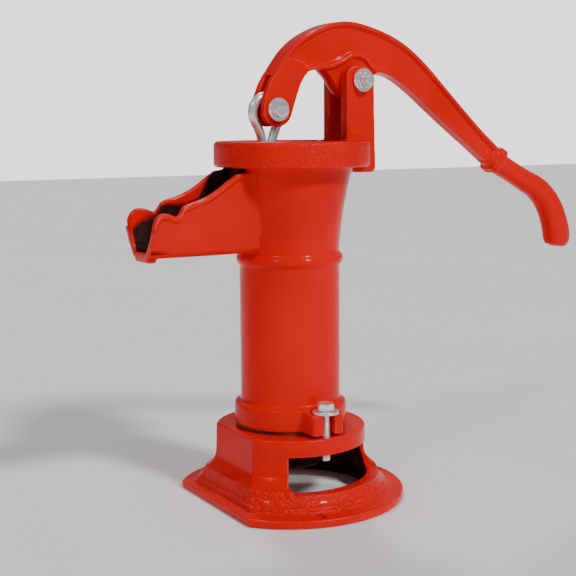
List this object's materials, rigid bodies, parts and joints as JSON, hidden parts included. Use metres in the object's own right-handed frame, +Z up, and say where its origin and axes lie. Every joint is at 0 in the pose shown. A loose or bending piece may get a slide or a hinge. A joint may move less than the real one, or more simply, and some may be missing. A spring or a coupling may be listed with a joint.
{
  "type": "hand well pump",
  "caption": "Cast-iron pitcher pump: round stand with side windows, barrel with a flared bowl and open trough spout, turning cap bracket, curved lever handle, forked end, rod and valves.",
  "frame": {"origin": "centre of the bounding box's footprint, at the ground face of the stand's flange", "axes": "+X from the spout towards the hand grip, +Z up along the barrel's axis, +Y completes a right-handed frame"},
  "size_m": [0.4686, 0.202, 0.4168],
  "materials": {
    "red_enamel": "glossy enamel over grainy sand-cast iron",
    "zinc_plate": "zinc-plated",
    "bright_steel": "bright drawn",
    "oiled_leather": "oiled",
    "bare_iron": "bare, as cast",
    "valve_brass": "turned"
  },
  "bodies": {
    "stand": {"base_stand": "red_enamel", "foot_valve_gasket": "oiled_leather", "pump_body": "red_enamel", "collar_bolt_1": "zinc_plate", "collar_bolt_2": "zinc_plate", "collar_washer_1": "zinc_plate", "collar_washer_2": "zinc_plate"},
    "cap": {"cap_bracket": "red_enamel", "cap_set_screw": "zinc_plate", "pivot_bolt": "zinc_plate", "pivot_nut": "zinc_plate", "pivot_washer_head_side": "zinc_plate", "pivot_washer_nut_side": "zinc_plate"},
    "lever": {"handle_lever": "red_enamel", "pin_bolt": "zinc_plate", "pin_nut": "zinc_plate", "pin_washer_head_side": "zinc_plate", "pin_washer_nut_side": "zinc_plate"},
    "plunger": {"plunger_cage": "bare_iron", "plunger_cup_leather": "oiled_leather", "plunger_follower": "bare_iron", "rod_pin": "zinc_plate"},
    "rod": {"piston_rod": "bright_steel"},
    "poppet": {"plunger_poppet": "valve_brass"},
    "flap": {"foot_valve_flap": "oiled_leather", "foot_valve_weight": "bare_iron", "foot_valve_washer": "zinc_plate", "foot_valve_screw": "zinc_plate"}
  },
  "joints": [
    {"name": "cap_swivel", "type": "hinge", "parent": "stand", "child": "cap", "pos_m": [-0.09293, 0, 0.3144], "axis": [0, 0, 1], "range_deg": [-130, 130]},
    {"name": "lever_pivot", "type": "hinge", "parent": "cap", "child": "lever", "pos_m": [-0.02923, 0, 0.3663], "axis": [0, -1, 0], "range_deg": [0, 38]},
    {"name": "plunger_slide", "type": "slide", "parent": "cap", "child": "plunger", "axis": [0, 0, 1], "range_m": [-0.047, 0]},
    {"name": "rod_tilt", "type": "hinge", "parent": "plunger", "child": "rod", "pos_m": [-0.09293, 0, 0.186], "axis": [0, 1, 0], "range_deg": [0, 14]},
    {"name": "poppet_lift", "type": "slide", "parent": "plunger", "child": "poppet", "axis": [0, 0, 1], "range_m": [0, 0.007]},
    {"name": "flap_hinge", "type": "hinge", "parent": "stand", "child": "flap", "pos_m": [-0.06143, 0, 0.0649], "axis": [0, 1, 0], "range_deg": [0, 20]}
  ],
  "couplings": [
    {"joint": "plunger_slide", "follows": "lever_pivot", "m_per_rad": -0.0693},
    {"joint": "rod_tilt", "follows": "lever_pivot", "ratio": 0.348}
  ]
}
